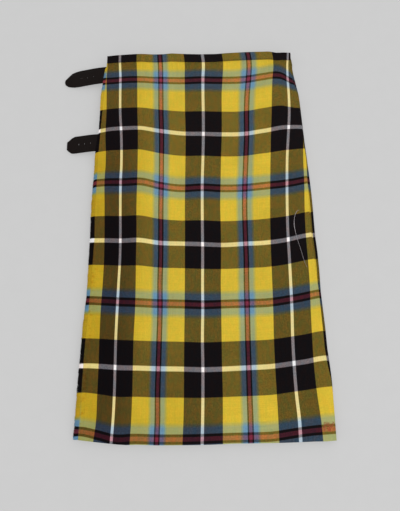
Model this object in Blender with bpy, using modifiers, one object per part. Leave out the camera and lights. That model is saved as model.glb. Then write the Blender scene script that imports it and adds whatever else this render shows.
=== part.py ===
"""A pleated check kilt laid flat on a table, front apron up.

Metres, +X to the viewer's right, +Y towards the waist, +Z up. The cloth is one length wrapped
round: the pleats face the table, the under apron is folded over them from the left, and the
front apron is folded over both from the right. The tables are in millimetres, measured from
the middle of the waist edge: x to the right, down towards the hem.
"""

import math

import bmesh
import bpy
import numpy as np
from mathutils import Vector

MM = 0.001

# Cloth and how its layers lie
CLOTH = 1.1 * MM
LAYER = 1.5 * MM
SEAM = 0.3 * MM
TOP_EDGE = 0.9 * MM

# Knife pleats on the back
PLEATS = 17
PLEAT_LAYERS = 5
HIP = 58 * MM
OVER_EDGE = 1 * MM
RISE = 6 * MM
INNER_STOP = 8.5 * MM
LAST_TURN = 1.5 * MM

# Turned edges
TURN = 1.2 * MM
HIP_TURN = 12 * MM
UNDER_EDGE = 22 * MM
FRONT_SAG = 1.6 * MM
FRONT_SAG_WIDTH = 14 * MM

# Waistband
BAND = 13.5 * MM
BAND_LIFT_END = 14 * MM
BAND_RAMP = 4 * MM
BAND_MIDDLE = (0.0, 60 * MM)

# Room for the buckles under the left hip, and for the straps over it
BUCKLE_ROOM = 5.6 * MM
BUCKLE_X = 50 * MM
BUCKLE_RAMP = 8 * MM
BUCKLE_DOWN = 178 * MM
BUCKLE_DOWN_RAMP = 22 * MM
STRAP_SPACE = 0.4 * MM
STRAP_X = 52 * MM
STRAP_RAMP = 26 * MM

# Leather straps
STRAP_THICK = 2.4 * MM
STRAP_ROOT = 28 * MM
STRAP_FREE = 3 * MM
STRAP_STEP = 5 * MM
HOLES = 3
HOLE = 3 * MM
HOLE_STEP = 9.5 * MM
CUTTER_LONG = 12 * MM

# Buckles
BUCKLE_ABOVE = 2 * MM
FRAME_LONG = 22 * MM
FRAME_WIDE = 35 * MM
FRAME_CORNER = 4 * MM
FRAME_FROM_EDGE = 8 * MM
FRAME_Z = 2.7 * MM
BAR_END = 0.5 * MM
HEEL_RADIUS = 0.9 * MM
NOSE_RADIUS = 1.0 * MM
SIDE_RADIUS = 1.4 * MM
PRONG_RADIUS = 0.7 * MM
PRONG_TIP_RADIUS = 0.56 * MM
PRONG_BEND = 6 * MM
PRONG_FLAT = 3 * MM
PRONG_PAST = 2 * MM
CHAPE_WIDE = 27 * MM
CHAPE_MEETS = 7 * MM
CHAPE_SHORT = 1 * MM
CHAPE_SLOT = 4.6 * MM
CHAPE_SLOT_LONG = 11 * MM
CHAPE_SLOT_BACK = 0.5 * MM

# Fringe on the apron's free edge, its strands' widths as shares of their pitch
STRANDS = 96
FRINGE_STRIP = 3 * MM
STRAND_ROOT = 0.62
STRAND_TIP = 0.3
STRAND_UNEVEN = 0.16
STRAND_LEAN = 0.2
STRAND_DROOP = 1.4 * MM

# down: distance below the waist edge at the sides. left: woven edge. right: fold. peek: how far
# the last pleat shows past that fold. sag: how much lower the middle of the row hangs.
# tilt: how much higher the right side is than the middle. fringe: strand length.
OUTLINE = (
    # down, left, right, peek, sag, tilt, fringe
    (0.0, -149.5, 148.6, -1.0, 0.0, 3.0, 2.0),
    (14.0, -149.5, 150.6, -1.0, 0.9, 3.0, 3.2),
    (18.0, -149.6, 151.2, -0.9, 1.2, 3.0, 4.0),
    (90.0, -153.8, 160.2, 0.0, 8.0, 2.0, 5.5),
    (178.0, -157.4, 166.0, 0.8, 10.8, 0.2, 4.9),
    (200.0, -157.8, 166.9, 1.0, 10.3, 0.0, 5.0),
    (340.0, -160.4, 173.4, 2.1, 8.0, 1.4, 5.2),
    (520.0, -165.3, 184.9, 1.0, 7.5, 2.2, 6.6),
    (603.5, -167.0, 187.4, -2.0, 7.5, 0.0, 7.0),
)
COLUMNS = ("down", "left", "right", "peek", "sag", "tilt", "fringe")
HEM = OUTLINE[-1][0] * MM
SECTIONS = [max(row[0] * MM, TOP_EDGE) for row in OUTLINE]

# from_tip: distance back from the tip. above, below: outline each side of the middle line.
WAIST_STRAP_TIP = (
    # from_tip, above, below
    (0.0, -1.4, 4.4),
    (1.2, 1.0, 7.6),
    (5.8, 6.0, 11.2),
    (11.0, 11.0, 12.8),
    (17.0, 13.2, 14.0),
    (25.0, 14.2, 14.4),
)
HIP_STRAP_TIP = (
    # from_tip, above, below
    (0.0, 5.2, 7.2),
    (2.6, 7.2, 10.0),
    (7.6, 12.0, 13.8),
    (12.2, 14.2, 14.3),
)
# tip_x, tip_down: where the middle line ends. slope: degrees down towards the tip.
STRAPS = {
    # name: tip_x, tip_down, slope, first_hole, outline
    "strap_waist": (-218.4, 44.2, 5.2, 27.5, WAIST_STRAP_TIP),
    "strap_hip": (-208.9, 159.0, 1.5, 19.0, HIP_STRAP_TIP),
}

NAVY_BLACK = (0.012, 0.010, 0.011, 1)
OLIVE = (0.13, 0.10, 0.022, 1)
YELLOW = (0.62, 0.42, 0.05, 1)
LEATHER = (0.012, 0.008, 0.007, 1)
NICKEL = (0.62, 0.60, 0.57, 1)


def clear_scene():
    for thing in list(bpy.data.objects):
        bpy.data.objects.remove(thing)


def collection(name):
    made = bpy.data.collections.new(name)
    bpy.context.scene.collection.children.link(made)
    return made


def material(name, colour, roughness, metallic=0.0):
    made = bpy.data.materials.new(name)
    made.use_nodes = True
    shader = made.node_tree.nodes["Principled BSDF"]
    shader.inputs["Base Color"].default_value = colour
    shader.inputs["Roughness"].default_value = roughness
    shader.inputs["Metallic"].default_value = metallic
    return made


def ramp(value, start, end):
    """0 at start, 1 at end, smooth between."""
    t = min(1.0, max(0.0, (value - start) / (end - start)))
    return t * t * (3 - 2 * t)


def outline(column, down):
    """A column of the outline table at a distance below the waist edge, in metres."""
    downs = [row[0] * MM for row in OUTLINE]
    values = [row[COLUMNS.index(column)] * MM for row in OUTLINE]
    return float(np.interp(down, downs, values))


def row_y(x, down):
    """How far up the garment a point of the row at this distance below the waist lies."""
    left, right = outline("left", down), outline("right", down)
    side = 2 * (x - left) / (right - left) - 1
    return -down - outline("sag", down) * (1 - side * side) + outline("tilt", down) * side


def place(x, down, z):
    return Vector((x, row_y(x, down), z))


def band_lift(down):
    """1 under the waistband and 0 below it."""
    return 1 - ramp(down, BAND_LIFT_END, BAND_LIFT_END + BAND_RAMP)


def hip_zone(down):
    """1 where the buckles and straps are, from the waist down past the lower strap."""
    return 1 - ramp(down, BUCKLE_DOWN, BUCKLE_DOWN + BUCKLE_DOWN_RAMP)


def level_z(level, down):
    """Middle height of a layer of the back, counted from the table."""
    return CLOTH / 2 + LAYER * (level + band_lift(down))


def over_buckles(x, down):
    """1 over the buckles under the left hip, 0 over the pleats."""
    inward = x - outline("left", down)
    return (1 - ramp(inward, BUCKLE_X, BUCKLE_X + BUCKLE_RAMP)) * hip_zone(down)


def hip_z(x, down):
    """Middle height of the single layer at the left hip, which lies over the buckles."""
    return level_z(0, down) + BUCKLE_ROOM * over_buckles(x, down)


def under_z(x, down):
    """Middle height of the under apron."""
    flat = level_z(PLEAT_LAYERS, down)
    return flat + over_buckles(x, down) * (level_z(1, down) + BUCKLE_ROOM - flat)


def strap_room():
    return STRAP_THICK + 2 * STRAP_SPACE - (LAYER - CLOTH)


def front_z(x, down):
    """Middle height of the front apron, lower where it nears the right fold."""
    left, right = outline("left", down), outline("right", down)
    over = (1 - ramp(x - left, STRAP_X, STRAP_X + STRAP_RAMP)) * hip_zone(down)
    flat = level_z(PLEAT_LAYERS + 1, down) + LAYER * band_lift(down)
    strap_top = level_z(2, down) + BUCKLE_ROOM + strap_room() + LAYER * band_lift(down)
    near_fold = ramp(x, right - FRONT_SAG_WIDTH, right)
    return flat + over * (strap_top - flat) - FRONT_SAG * near_fold


def sheet(name, rows, thickness, group, look):
    """A cloth or leather wall through rows of middle points, each row with as many points."""
    mesh = bpy.data.meshes.new(name)
    form = bmesh.new()
    grid = [[form.verts.new(point) for point in row] for row in rows]
    for upper, lower in zip(grid, grid[1:]):
        for a, b, c, d in zip(upper, upper[1:], lower[1:], lower):
            form.faces.new((a, d, c, b))
    bmesh.ops.recalc_face_normals(form, faces=form.faces)
    form.to_mesh(mesh)
    form.free()
    mesh.shade_smooth()
    mesh.set_sharp_from_angle(angle=math.radians(40))
    thing = bpy.data.objects.new(name, mesh)
    group.objects.link(thing)
    thing.data.materials.append(look)
    wall = thing.modifiers.new("wall", "SOLIDIFY")
    wall.thickness = thickness
    wall.offset = 0
    wall.use_even_offset = True
    wall.use_quality_normals = True
    return thing


def mesh_from_curve(curve):
    """The curve object made a closed mesh in place."""
    graph = bpy.context.evaluated_depsgraph_get()
    mesh = bpy.data.meshes.new_from_object(curve.evaluated_get(graph))
    form = bmesh.new()
    form.from_mesh(mesh)
    bmesh.ops.remove_doubles(form, verts=form.verts, dist=1e-6)
    bmesh.ops.recalc_face_normals(form, faces=form.faces)
    form.to_mesh(mesh)
    form.free()
    made = bpy.data.objects.new(curve.name, mesh)
    made.matrix_world = curve.matrix_world
    for group in curve.users_collection:
        group.objects.link(made)
    name = curve.name
    bpy.data.objects.remove(curve)
    made.name = name
    return made


def wire(name, points, group, look, cyclic=False):
    """A round wire through (point, radius) pairs."""
    curve = bpy.data.curves.new(name, "CURVE")
    curve.dimensions = "3D"
    curve.bevel_depth = 1.0
    curve.bevel_resolution = 2
    curve.use_fill_caps = not cyclic
    line = curve.splines.new("POLY")
    line.points.add(len(points) - 1)
    for spot, (at, radius) in zip(line.points, points):
        spot.co = (*at, 1)
        spot.radius = radius
    line.use_cyclic_u = cyclic
    thing = bpy.data.objects.new(name, curve)
    group.objects.link(thing)
    thing.data.materials.append(look)
    bpy.context.view_layer.update()
    made = mesh_from_curve(thing)
    made.data.shade_smooth()
    return made


def pleat_edges(down):
    """Where the pleats start and their outer folds, left to right."""
    start = outline("left", down) + HIP
    end = outline("right", down) + outline("peek", down)
    width = (end - start) / PLEATS
    return start, [start + width * count for count in range(1, PLEATS + 1)]


def inner_fold(start, edges, pleat):
    """Where the layer behind a pleat turns round to become that pleat (pleats count from 0)."""
    if pleat == PLEATS:
        return edges[-2] + INNER_STOP
    over = pleat - (PLEAT_LAYERS + 1) // 2
    return start if over < 0 else edges[over] + INNER_STOP


def pleat_run(start, edges, pleat, backwards):
    """(x, level) from the inner fold to a pleat's outer fold, or back under the next pleat."""
    turn = inner_fold(start, edges, pleat + 1 if backwards else pleat)
    crossed = [i for i in range(pleat) if edges[i] > turn]
    high = 2 * len(crossed)
    points = [(turn, high)]
    for i in crossed:
        points.append((edges[i] + OVER_EDGE, high))
        high -= 2
        points.append((edges[i] + OVER_EDGE + RISE, high))
    points.append((edges[pleat], 0))
    if not backwards:
        return points
    return [(x, level + 1) for x, level in reversed(points)]


def pleated_back(group, look):
    """One wall from the left hip through every knife pleat to the front apron's seam."""
    rows = []
    for down in SECTIONS:
        left = outline("left", down)
        start, edges = pleat_edges(down)
        row = []
        for inward in (HIP_TURN + SEAM, BUCKLE_X, BUCKLE_X + BUCKLE_RAMP / 2, HIP):
            x = left + inward
            row.append(place(x, down, hip_z(x, down)))
        for pleat in range(PLEATS):
            run = pleat_run(start, edges, pleat, backwards=False)
            if pleat == 0:
                run = run[1:]
            run += pleat_run(start, edges, pleat, backwards=True)
            row += [place(x, down, level_z(level, down)) for x, level in run]
        x, level = last_fold(start, edges)
        row.append(place(x, down, level_z(level, down)))
        row.append(place(x + LAST_TURN, down, level_z(level, down)))
        rows.append(row)
    return sheet("pleated_back", rows, CLOTH, group, look)


def last_fold(start, edges):
    """(x, level) where the last pleat's back layer turns to become the front apron."""
    return inner_fold(start, edges, PLEATS), 2


def under_apron(group, look):
    """From the hip seam round the left fold and across to its free edge under the front."""
    rows = []
    for down in SECTIONS:
        left, right = outline("left", down), outline("right", down)
        seam = left + HIP_TURN
        low, high = hip_z(seam, down), under_z(left, down)
        row = [
            place(seam, down, low),
            place(left + 2 * TURN, down, low),
            place(left + TURN, down, low + (high - low) / 4),
            place(left + TURN, down, high - (high - low) / 4),
            place(left + 2 * TURN, down, high),
        ]
        middle = [BUCKLE_X, BUCKLE_X + BUCKLE_RAMP / 2, HIP]
        end = right - UNDER_EDGE - left
        middle += [HIP + (end - HIP) * part for part in (0.35, 0.7, 1)]
        row += [place(left + inward, down, under_z(left + inward, down)) for inward in middle]
        rows.append(row)
    return sheet("under_apron", rows, CLOTH, group, look)


def front_turn(down):
    """(x, z) from the seam behind the last pleat round the right fold."""
    right = outline("right", down)
    start, edges = pleat_edges(down)
    x, level = last_fold(start, edges)
    low, high = level_z(level, down), front_z(right, down)
    return [
        (x + LAST_TURN + SEAM, low),
        (right - 2 * TURN, low),
        (right - TURN / 2, low + (high - low) / 4),
        (right - TURN / 2, high - (high - low) / 4),
        (right - 2 * TURN, high),
    ]


def front_columns(down):
    """x of the front apron's columns, right to left, up to the fringe's strip."""
    left, right = outline("left", down), outline("right", down)
    inner = [right - FRONT_SAG_WIDTH / 2, right - FRONT_SAG_WIDTH]
    near = [left + inward for inward in (STRAP_X + STRAP_RAMP, STRAP_X + STRAP_RAMP / 2, STRAP_X)]
    span = inner[-1] - near[0]
    inner += [inner[1] - span * part for part in (0.25, 0.5, 0.75)]
    return inner + near


def front_apron(group, look):
    """From its seam behind the last pleat round the right fold to the strip of the fringe."""
    rows = []
    for down in SECTIONS:
        row = [place(x, down, z) for x, z in front_turn(down)]
        edge = outline("left", down) + FRINGE_STRIP + SEAM
        row += [place(x, down, front_z(x, down)) for x in front_columns(down) + [edge]]
        rows.append(row)
    return sheet("front_apron", rows, CLOTH, group, look)


def apron_fringe(group, look):
    """A strip parted from the apron's free edge, with its loose weft strands."""
    mesh = bpy.data.meshes.new("apron_fringe")
    form = bmesh.new()
    pitch = (HEM - TOP_EDGE) / STRANDS

    def edge_pair(down):
        left = outline("left", down)
        inner = place(left + FRINGE_STRIP, down, front_z(left, down))
        return form.verts.new(inner), form.verts.new(place(left, down, front_z(left, down)))

    last = edge_pair(TOP_EDGE)
    for count in range(STRANDS):
        start = TOP_EDGE + pitch * count
        middle = start + pitch / 2
        uneven = math.sin(2.3 * count) * math.cos(0.7 * count)
        lean = STRAND_LEAN * pitch * math.sin(1.7 * count)
        length = outline("fringe", middle) * (1 + STRAND_UNEVEN * uneven)
        upper = edge_pair(start + pitch * (1 - STRAND_ROOT) / 2)
        lower = edge_pair(start + pitch * (1 + STRAND_ROOT) / 2)
        left = outline("left", middle)
        z = front_z(left, middle) - STRAND_DROOP * (1 - hip_zone(middle))
        tips = []
        for side in (-1, 1):
            down = middle + side * pitch * STRAND_TIP / 2 + lean
            tips.append(form.verts.new(Vector((left - length, row_y(left, down), z))))
        form.faces.new((last[0], last[1], upper[1], upper[0]))
        form.faces.new((upper[0], upper[1], lower[1], lower[0]))
        form.faces.new((upper[1], tips[0], tips[1], lower[1]))
        last = lower
    end = edge_pair(HEM)
    form.faces.new((last[0], last[1], end[1], end[0]))
    bmesh.ops.recalc_face_normals(form, faces=form.faces)
    form.to_mesh(mesh)
    form.free()
    thing = bpy.data.objects.new("apron_fringe", mesh)
    group.objects.link(thing)
    thing.data.materials.append(look)
    wall = thing.modifiers.new("wall", "SOLIDIFY")
    wall.thickness = CLOTH
    wall.offset = 0


def band(name, columns, height, side, group, look):
    """A waistband strip on one face of a panel, its top edge turned over the panel's.

    columns gives the x positions, height the panel's middle height there, and side is 1 above
    the panel and -1 below it.
    """
    moved = side * LAYER
    rows = []
    for down, step in ((BAND, moved), (BAND / 2, moved), (0.0, moved), (0.0, 0.0)):
        rows.append([place(x, down, height(x) + step) for x in columns])
    sheet(name, rows, CLOTH, group, look)


def waistbands(group, look):
    """The band's front, back and under lengths, parted at the folds."""
    down = TOP_EDGE
    left, right = outline("left", down), outline("right", down)
    over_straps = [left, left + STRAP_X, left + STRAP_X + STRAP_RAMP / 2, left + STRAP_X + STRAP_RAMP]
    sagging = [right - FRONT_SAG_WIDTH, right - FRONT_SAG_WIDTH / 2, right - TURN]
    hip = [left + inward for inward in (TURN, BUCKLE_X, BUCKLE_X + BUCKLE_RAMP / 2, HIP)]
    front = over_straps + list(BAND_MIDDLE) + sagging
    under = hip + list(BAND_MIDDLE) + [right - UNDER_EDGE]
    back = hip + [BAND_MIDDLE[0], right - 2 * TURN]
    band("waistband_front", front, lambda x: front_z(x, down), 1, group, look)
    band("waistband_back", back, lambda x: hip_z(x, down), -1, group, look)
    band("waistband_under", under, lambda x: under_z(x, down), 1, group, look)


def cut_with(thing, cutter, name, cutters):
    """Cut the solid with this one, which is kept with the cutters and out of any picture."""
    cutter.name = f"{thing.name}_{name}"
    for group_in in list(cutter.users_collection):
        group_in.objects.unlink(cutter)
    cutters.objects.link(cutter)
    cutter.hide_render = True
    cutter.display_type = "WIRE"
    cut = thing.modifiers.new(name, "BOOLEAN")
    cut.operation = "DIFFERENCE"
    cut.object = cutter


def strap_half(outline_rows, from_tip):
    """The strap's outline above and below its middle line, this far back from the tip."""
    at, above, below = zip(*outline_rows)
    return [float(np.interp(from_tip / MM, at, side)) * MM for side in (above, below)]


def strap_line(tip_x, tip_down, slope, from_tip):
    """x and y of the strap's middle line."""
    turn = math.radians(slope)
    return tip_x * MM + from_tip * math.cos(turn), -tip_down * MM + from_tip * math.sin(turn)


def strap_z(x, tip_x, down):
    """Level under the apron, then down on to the table at its tip."""
    left = outline("left", down)
    inside = level_z(1, down) + BUCKLE_ROOM + CLOTH / 2 + STRAP_SPACE + STRAP_THICK / 2
    fallen = ramp(left - STRAP_FREE - x, 0, left - STRAP_FREE - tip_x * MM)
    return inside + fallen * (STRAP_THICK / 2 + SEAM - inside)


def strap(name, group, cutters, look):
    """A leather strap sewn under the apron, with its punched holes."""
    tip_x, tip_down, slope, first_hole, outline_rows = STRAPS[name]
    down = tip_down * MM
    root = (outline("left", down) + STRAP_ROOT - tip_x * MM) / math.cos(math.radians(slope))
    stops = [row[0] * MM for row in outline_rows]
    stops += list(np.linspace(stops[-1] + STRAP_STEP, root, 9))
    rows = []
    for from_tip in stops:
        x, y = strap_line(tip_x, tip_down, slope, from_tip)
        above, below = strap_half(outline_rows, from_tip)
        z = strap_z(x, tip_x, down)
        rows.append([Vector((x, y + offset, z)) for offset in (above, (above - below) / 2, -below)])
    thing = sheet(name, rows, STRAP_THICK, group, look)
    for count in range(HOLES):
        x, y = strap_line(tip_x, tip_down, slope, first_hole * MM + count * HOLE_STEP)
        bpy.ops.mesh.primitive_cylinder_add(vertices=12, radius=HOLE / 2, depth=CUTTER_LONG)
        punch = bpy.context.object
        punch.location = (x, y, strap_z(x, tip_x, down))
        cut_with(thing, punch, f"hole_{count + 1}", cutters)


def buckle_frame(name, middle, group, metal):
    """The frame as one bent wire, slimmer along its heel and its nose."""
    loop = []
    for corner, (sign_x, sign_y) in enumerate(((1, 1), (-1, 1), (-1, -1), (1, -1))):
        across = sign_x * (FRAME_LONG / 2 - FRAME_CORNER)
        along = sign_y * (FRAME_WIDE / 2 - FRAME_CORNER)
        centre = middle + Vector((across, along, 0))
        for part in range(4):
            angle = math.pi / 2 * (corner + part / 3)
            at = centre + FRAME_CORNER * Vector((math.cos(angle), math.sin(angle), 0))
            from_middle = at.x - middle.x
            radius = SIDE_RADIUS
            if abs(from_middle) > FRAME_LONG / 2 - BAR_END:
                radius = HEEL_RADIUS if from_middle > 0 else NOSE_RADIUS
            loop.append((at, radius))
    wire(f"{name}_frame", loop, group, metal, cyclic=True)


def buckle_prong(name, middle, group, metal):
    """The prong, curled round the heel bar and lying under the nose."""
    heel_x, nose_x = middle.x + FRAME_LONG / 2, middle.x - FRAME_LONG / 2
    reach = HEEL_RADIUS + SEAM + PRONG_RADIUS
    low = FRAME_Z - NOSE_RADIUS - SEAM - PRONG_RADIUS
    pin = []
    for part in range(9):
        angle = math.radians(-60 + 250 * part / 8)
        at = Vector((heel_x + reach * math.cos(angle), middle.y, FRAME_Z + reach * math.sin(angle)))
        pin.append((at, PRONG_RADIUS))
    pin.append((Vector((heel_x - PRONG_BEND, middle.y, (FRAME_Z + low) / 2)), PRONG_RADIUS))
    pin.append((Vector((nose_x + PRONG_FLAT, middle.y, low)), PRONG_RADIUS))
    pin.append((Vector((nose_x - PRONG_PAST, middle.y, low)), PRONG_TIP_RADIUS))
    wire(f"{name}_prong", pin, group, metal)


def buckle_chape(name, middle, end, group, cutters, leather):
    """The leather that holds the buckle, folded round its heel bar, slotted for the prong."""
    heel_x = middle.x + FRAME_LONG / 2
    wrap = HEEL_RADIUS + SEAM + CLOTH / 2
    upper = FRAME_Z + wrap
    lower = upper - CLOTH - SEAM
    section = [(end, upper), (heel_x + CHAPE_MEETS, upper)]
    for part in range(7):
        angle = math.radians(90 + 30 * part)
        section.append((heel_x + wrap * math.cos(angle), FRAME_Z + wrap * math.sin(angle)))
    section += [(heel_x + CHAPE_MEETS, lower), (end, lower)]
    rows = [[Vector((x, middle.y + side * CHAPE_WIDE / 2, z)) for x, z in section] for side in (1, -1)]
    chape = sheet(f"{name}_chape", rows, CLOTH, group, leather)
    bpy.ops.mesh.primitive_cube_add(size=1)
    slot = bpy.context.object
    slot.dimensions = (CHAPE_SLOT_LONG, CHAPE_SLOT, CUTTER_LONG)
    slot.location = (heel_x - CHAPE_SLOT_BACK, middle.y, FRAME_Z)
    cut_with(chape, slot, "slot", cutters)


def buckle(name, strap_name, group, cutters, leather, metal):
    """Frame, prong and leather chape under the left hip, level with a strap."""
    down = STRAPS[strap_name][1] * MM - BUCKLE_ABOVE
    left = outline("left", down)
    middle = Vector((left + FRAME_FROM_EDGE + FRAME_LONG / 2, row_y(left, down), FRAME_Z))
    buckle_frame(name, middle, group, metal)
    buckle_prong(name, middle, group, metal)
    buckle_chape(name, middle, left + BUCKLE_X - CHAPE_SHORT, group, cutters, leather)


def move_to_origin(groups):
    """Put the origin under the middle of the garment's box, on the table."""
    bpy.context.view_layer.update()
    graph = bpy.context.evaluated_depsgraph_get()
    low, high = Vector((1e3, 1e3, 1e3)), Vector((-1e3, -1e3, -1e3))
    for thing in groups[0].objects:
        shaped = thing.evaluated_get(graph)
        for corner in shaped.bound_box:
            at = shaped.matrix_world @ Vector(corner)
            low = Vector(map(min, low, at))
            high = Vector(map(max, high, at))
    shift = Vector((-(low.x + high.x) / 2, -(low.y + high.y) / 2, -low.z))
    kilt = bpy.data.objects.new("kilt_origin", None)
    groups[0].objects.link(kilt)
    for group in groups:
        for thing in group.objects:
            if thing != kilt:
                thing.parent = kilt
    kilt.location = shift


def main():
    clear_scene()
    kilt, cutters = collection("kilt"), collection("cutters")
    wool = material("check_wool", OLIVE, 0.85)
    wool_back = material("check_wool_back", YELLOW, 0.85)
    band_wool = material("band_wool", NAVY_BLACK, 0.85)
    leather = material("dark_leather", LEATHER, 0.5)
    nickel = material("nickel", NICKEL, 0.3, 1.0)
    pleated_back(kilt, wool_back)
    under_apron(kilt, wool)
    front_apron(kilt, wool)
    apron_fringe(kilt, wool_back)
    waistbands(kilt, band_wool)
    for name in STRAPS:
        strap(name, kilt, cutters, leather)
        buckle(name.replace("strap", "buckle"), name, kilt, cutters, leather, nickel)
    move_to_origin((kilt, cutters))


main()
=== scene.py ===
"""A pleated check kilt laid flat, front apron up, dressed over its solids.

Metres, +X to the viewer's right, +Y towards the waist, +Z up. The tables are in millimetres,
measured from the middle of the waist edge: x to the right, down towards the hem. Those of the
check's lines, the ridges and the stray thread, with x and y, start at the part's origin instead.
"""

import math
import random

import bpy
import numpy as np
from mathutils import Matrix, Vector


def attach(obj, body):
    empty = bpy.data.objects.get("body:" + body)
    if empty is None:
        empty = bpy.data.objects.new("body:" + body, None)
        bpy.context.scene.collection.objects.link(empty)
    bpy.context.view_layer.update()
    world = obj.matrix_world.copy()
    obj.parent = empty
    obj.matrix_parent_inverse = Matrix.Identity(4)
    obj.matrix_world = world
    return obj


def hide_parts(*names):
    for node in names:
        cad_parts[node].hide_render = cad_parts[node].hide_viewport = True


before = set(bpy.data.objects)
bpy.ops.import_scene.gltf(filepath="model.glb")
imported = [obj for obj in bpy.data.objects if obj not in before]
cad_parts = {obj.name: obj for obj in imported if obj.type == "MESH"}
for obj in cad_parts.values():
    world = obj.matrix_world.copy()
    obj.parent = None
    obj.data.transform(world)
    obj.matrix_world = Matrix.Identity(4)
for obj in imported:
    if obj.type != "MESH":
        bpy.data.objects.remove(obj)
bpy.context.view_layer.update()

MM = 0.001
ORIGIN = (15.5, 303.7)

# The garment's sizes, as its solids have them
CLOTH = 1.1
LAYER = 1.5
TOP_EDGE = 0.9
HEM = 603.5
PLEATS = 17
PLEAT_LAYERS = 5
HIP = 58.0
OVER_EDGE = 1.0
RISE = 6.0
INNER_STOP = 8.5
LAST_TURN = 1.5
SEAM = 0.3
TURN = 1.2
HIP_TURN = 12.0
UNDER_EDGE = 22.0
FRONT_SAG = 1.6
FRONT_SAG_WIDTH = 14.0
BAND = 13.5
BAND_LIFT_END = 14.0
BAND_RAMP = 4.0
BUCKLE_ROOM = 5.6
BUCKLE_X = 50.0
BUCKLE_RAMP = 8.0
BUCKLE_DOWN = 178.0
BUCKLE_DOWN_RAMP = 22.0
STRAP_SPACE = 0.4
STRAP_X = 52.0
STRAP_RAMP = 26.0
STRAP_THICK = 2.4
STRAP_ROOT = 28.0
STRAP_FREE = 3.0
HOLE_STEP = 9.5
FRINGE_STRIP = 3.0

# Sizes of what only this scene has; the straps' holes have drawn in since they were punched
SHEET = 1.0
HOLE = 1.9
STRAP_HOLES = 3
FOLD_POINTS = 9
BEHIND_POINTS = 4
FRONT_COLUMNS = 88
UNDER_COLUMNS = 70
BAND_COLUMNS = 90
SHEET_GAP = 0.04
FRINGE_THREADS = 2100
FRINGE_CLUMP = 13
FRINGE_ROOT = 0.6
FRINGE_LAYER = 0.22
CORNER_THREADS = 90
STITCH_STEP = 3.4
STITCH_LONG = 1.9
TWILL = 1.5
YARN_PAIR = 0.75

OUTLINE = (
    # down, left, right, sag, tilt
    (0, -149.5, 148.6, 0, 3),
    (14, -149.5, 150.6, 0.9, 3),
    (18, -149.6, 151.2, 1.2, 3),
    (90, -153.8, 160.2, 8, 2),
    (178, -157.4, 166, 10.8, 0.2),
    (200, -157.8, 166.9, 10.3, 0),
    (340, -160.4, 173.4, 8, 1.4),
    (520, -165.3, 184.9, 7.5, 2.2),
    (603.5, -167, 187.4, 7.5, 0),
)
COLUMNS = ("down", "left", "right", "sag", "tilt")

# How the cloth strays from those smooth edges
RIGHT_IN = (
    # down, and how far the right fold lies inside
    (0, 0.6), (14, 4.3), (28, 6.4), (48, 4.9), (72, 1.5), (90, 1.1),
    (130, 1.3), (158, 2), (185, 1), (205, 1.9), (238, 3.2), (262, 4),
    (310, 4.3), (333, 3.8), (364, 3.8), (394, 3), (424, 3.2), (480, 4.2),
    (500, 3.2), (510, 2.2), (524, 0), (540, -0.7), (603.5, -0.2),
)
LAST_PEEK = (
    # down, and how far the last pleat's edge lies outside the fold over it
    (0, -1), (14, 3.8), (28, 3.8), (48, 3.6), (72, 1.8), (90, 0.8),
    (130, 0.9), (150, 1.6), (180, 1.5), (190, 1.7), (205, 3.1), (238, 5.1),
    (262, 5.9), (286, 5.6), (310, 5.4), (333, 5.9), (364, 5.5), (394, 3.1),
    (424, 3.5), (453, 4.1), (480, 4), (500, 3.8), (510, 2.9), (524, 1.1),
    (560, -0.6), (603.5, -2),
)
WAIST_DROP = (
    # x, and how far the waist edge lies lower
    (-149, 5.2), (-136, 3.8), (-122, 3), (-105, 2), (-60, 1.7), (-46, 0.4),
    (-20, 2.2), (0, 3), (25, 3), (45, 1.6), (75, 0.4), (112, 0),
    (124, 2.6), (148, 2),
)
WAIST_DROP_END = 45.0
HEM_LIFT = (
    # x, and how far the hem lies higher
    (-168, 0), (-142, -0.9), (-114, -2), (-100, -2), (-86, -0.8), (-60, -0.7),
    (-30, 0.3), (8, 1.2), (48, 2.5), (76, 2.2), (104, 1.6), (158, 0.4),
    (172, -0.5),
)
HEM_LIFT_START = 520.0
FRINGE_LONG = (
    # down, and how long the fringe is
    (12, 0), (24, 3.2), (70, 5.2), (112, 3.4), (134, 3), (165, 5),
    (255, 6.2), (300, 5.2), (345, 4.4), (400, 3.4), (440, 5.4), (520, 6.6),
    (603.5, 7),
)
FRINGE_IN = (
    # down, and how much deeper than the woven edge the fringe is drawn out
    (0, 0), (262, 0), (285, 0.9), (312, 2.2), (383, 2), (430, 1.2),
    (475, 0), (603.5, 0),
)

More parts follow.
